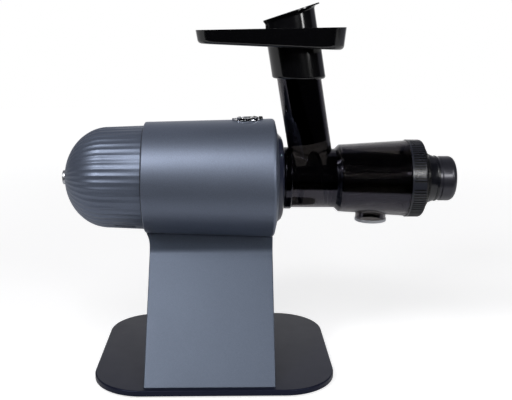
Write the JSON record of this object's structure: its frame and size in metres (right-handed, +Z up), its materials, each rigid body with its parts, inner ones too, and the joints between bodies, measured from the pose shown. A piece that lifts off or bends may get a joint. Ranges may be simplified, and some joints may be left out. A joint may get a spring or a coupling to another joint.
{
  "type": "cold press juicer",
  "caption": "Horizontal cold press juicer: motor body with a domed rear on a flared stand, auger drum with feed chute, tray and pusher, juice spout and pressure dial.",
  "frame": {"origin": "centre of the bounding box on the table under the rubber feet", "axes": "+X along the drive axis from the motor to the pressure dial, +Z up"},
  "size_m": [0.4554, 0.236, 0.4198],
  "materials": {
    "base_lacquer": "gloss",
    "foot_rubber": "matte",
    "screw_steel": "zinc plated",
    "stand_lacquer": "satin metallic lacquer",
    "inlet_plastic": "matte",
    "shell_lacquer": "gloss metallic lacquer",
    "dome_lacquer": "satin metallic lacquer",
    "seal_rubber": "matte",
    "nut_chrome": "polished",
    "bracket_steel": "plain",
    "cover_plastic": "satin",
    "switch_black": "gloss",
    "bezel_chrome": "polished",
    "lens_plastic": "clear dyed",
    "board_laminate": "satin",
    "spring_steel": "bright",
    "capacitor_can": "satin",
    "core_steel": "laminated",
    "winding_copper": "varnished copper",
    "cast_aluminium": "cast",
    "shaft_steel": "ground",
    "bush_bronze": "sintered",
    "fan_plastic": "matte",
    "gear_steel": "ground",
    "drum_smoke": "clear smoke",
    "auger_resin": "satin",
    "strainer_steel": "etched",
    "outlet_trim": "satin",
    "cap_plastic": "satin",
    "dial_plastic": "satin metallic",
    "nozzle_resin": "satin",
    "tray_plastic": "gloss",
    "pusher_plastic": "gloss"
  },
  "bodies": {
    "machine": {"base_plate": "base_lacquer", "rubber_feet": "foot_rubber", "base_screws": "screw_steel", "stand_shell": "stand_lacquer", "power_inlet": "inlet_plastic", "inlet_screws": "screw_steel", "body_shell": "shell_lacquer", "saddle_screws": "screw_steel", "rear_dome": "dome_lacquer", "dome_seal": "seal_rubber", "rear_cap_nut": "nut_chrome", "tie_rod": "shaft_steel", "rear_bracket": "bracket_steel", "front_cover": "cover_plastic", "cover_screws": "screw_steel", "switch_plate": "switch_black", "switch_bezel": "bezel_chrome", "switch_block": "inlet_plastic", "button_spring": "spring_steel", "pilot_lens": "lens_plastic", "control_board": "board_laminate", "run_capacitor": "capacitor_can", "stator_core": "core_steel", "stator_windings": "winding_copper", "rear_motor_shield": "cast_aluminium", "front_motor_shield": "cast_aluminium", "motor_bolts": "screw_steel", "shaft_bushes": "bush_bronze", "gear_case": "cast_aluminium", "ring_gear": "gear_steel", "output_bush": "bush_bronze", "shaft_seal": "seal_rubber"},
    "rocker": {"rocker": "switch_black"},
    "button": {"reverse_button": "switch_black"},
    "rotor": {"rotor_core": "core_steel", "motor_shaft": "shaft_steel", "input_sun_gear": "gear_steel", "cooling_fan": "fan_plastic"},
    "input_planet_a": {"input_planet_1": "gear_steel"},
    "input_planet_b": {"input_planet_2": "gear_steel"},
    "input_planet_c": {"input_planet_3": "gear_steel"},
    "first_stage": {"input_carrier": "gear_steel"},
    "output_planet_a": {"output_planet_1": "gear_steel"},
    "output_planet_b": {"output_planet_2": "gear_steel"},
    "output_planet_c": {"output_planet_3": "gear_steel"},
    "output": {"output_carrier": "gear_steel", "output_shaft": "shaft_steel", "auger": "auger_resin"},
    "drum": {"drum_housing": "drum_smoke", "drum_seal": "seal_rubber", "juice_strainer": "strainer_steel", "outlet_ring": "outlet_trim"},
    "cap": {"cap_ring": "cap_plastic", "cap_seal": "seal_rubber", "dial_collar": "cap_plastic"},
    "nozzle": {"pressure_nozzle": "nozzle_resin"},
    "dial": {"pressure_dial": "dial_plastic"},
    "tray": {"tray": "tray_plastic"},
    "pusher": {"pusher": "pusher_plastic"}
  },
  "joints": [
    {"name": "rotor_spin", "type": "hinge", "parent": "machine", "child": "rotor", "pos_m": [0, 0, 0.22], "axis": [1, 0, 0], "continuous": true},
    {"name": "first_stage_spin", "type": "hinge", "parent": "machine", "child": "first_stage", "pos_m": [0, 0, 0.22], "axis": [1, 0, 0], "continuous": true},
    {"name": "output_spin", "type": "hinge", "parent": "machine", "child": "output", "pos_m": [0, 0, 0.22], "axis": [1, 0, 0], "continuous": true},
    {"name": "input_planet_a_spin", "type": "hinge", "parent": "first_stage", "child": "input_planet_a", "pos_m": [0, 0, 0.2431], "axis": [1, 0, 0], "continuous": true},
    {"name": "input_planet_b_spin", "type": "hinge", "parent": "first_stage", "child": "input_planet_b", "pos_m": [0, -0.02001, 0.20845], "axis": [1, 0, 0], "continuous": true},
    {"name": "input_planet_c_spin", "type": "hinge", "parent": "first_stage", "child": "input_planet_c", "pos_m": [0, 0.02001, 0.20845], "axis": [1, 0, 0], "continuous": true},
    {"name": "output_planet_a_spin", "type": "hinge", "parent": "output", "child": "output_planet_a", "pos_m": [0, 0, 0.2431], "axis": [1, 0, 0], "continuous": true},
    {"name": "output_planet_b_spin", "type": "hinge", "parent": "output", "child": "output_planet_b", "pos_m": [0, -0.02001, 0.20845], "axis": [1, 0, 0], "continuous": true},
    {"name": "output_planet_c_spin", "type": "hinge", "parent": "output", "child": "output_planet_c", "pos_m": [0, 0.02001, 0.20845], "axis": [1, 0, 0], "continuous": true},
    {"name": "rocker_tilt", "type": "hinge", "parent": "machine", "child": "rocker", "pos_m": [-0.01465, 0, 0.28504], "axis": [0, 1, 0], "range_deg": [0, 18]},
    {"name": "reverse_press", "type": "slide", "parent": "machine", "child": "button", "axis": [0, 0, -1], "range_m": [0, 0.0012], "stiffness_N_per_m": 900, "springref_m": -0.0006, "deforming": ["button_spring"]},
    {"name": "drum_twist", "type": "hinge", "parent": "machine", "child": "drum", "pos_m": [0, 0, 0.22], "axis": [1, 0, 0], "range_deg": [0, 30]},
    {"name": "cap_twist", "type": "hinge", "parent": "drum", "child": "cap", "pos_m": [0, 0, 0.22], "axis": [1, 0, 0], "range_deg": [0, 45]},
    {"name": "dial_turn", "type": "hinge", "parent": "cap", "child": "dial", "pos_m": [0, 0, 0.22], "axis": [1, 0, 0], "range_deg": [-60, 60]},
    {"name": "nozzle_slide", "type": "slide", "parent": "cap", "child": "nozzle", "axis": [-1, 0, 0], "range_m": [-0.002, 0.002]},
    {"name": "tray_lift", "type": "slide", "parent": "drum", "child": "tray", "axis": [-0.1719, 0, 0.9851], "range_m": [0, 0.03]},
    {"name": "pusher_slide", "type": "slide", "parent": "tray", "child": "pusher", "axis": [-0.1719, 0, 0.9851], "range_m": [0, 0.13]}
  ],
  "couplings": [
    {"joint": "first_stage_spin", "follows": "rotor_spin", "ratio": 0.18182},
    {"joint": "output_spin", "follows": "rotor_spin", "ratio": 0.033058},
    {"joint": "input_planet_a_spin", "follows": "rotor_spin", "ratio": -0.46753},
    {"joint": "input_planet_b_spin", "follows": "rotor_spin", "ratio": -0.46753},
    {"joint": "input_planet_c_spin", "follows": "rotor_spin", "ratio": -0.46753},
    {"joint": "output_planet_a_spin", "follows": "rotor_spin", "ratio": -0.085006},
    {"joint": "output_planet_b_spin", "follows": "rotor_spin", "ratio": -0.085006},
    {"joint": "output_planet_c_spin", "follows": "rotor_spin", "ratio": -0.085006},
    {"joint": "dial_turn", "follows": "nozzle_slide", "rad_per_m": 523.59}
  ]
}
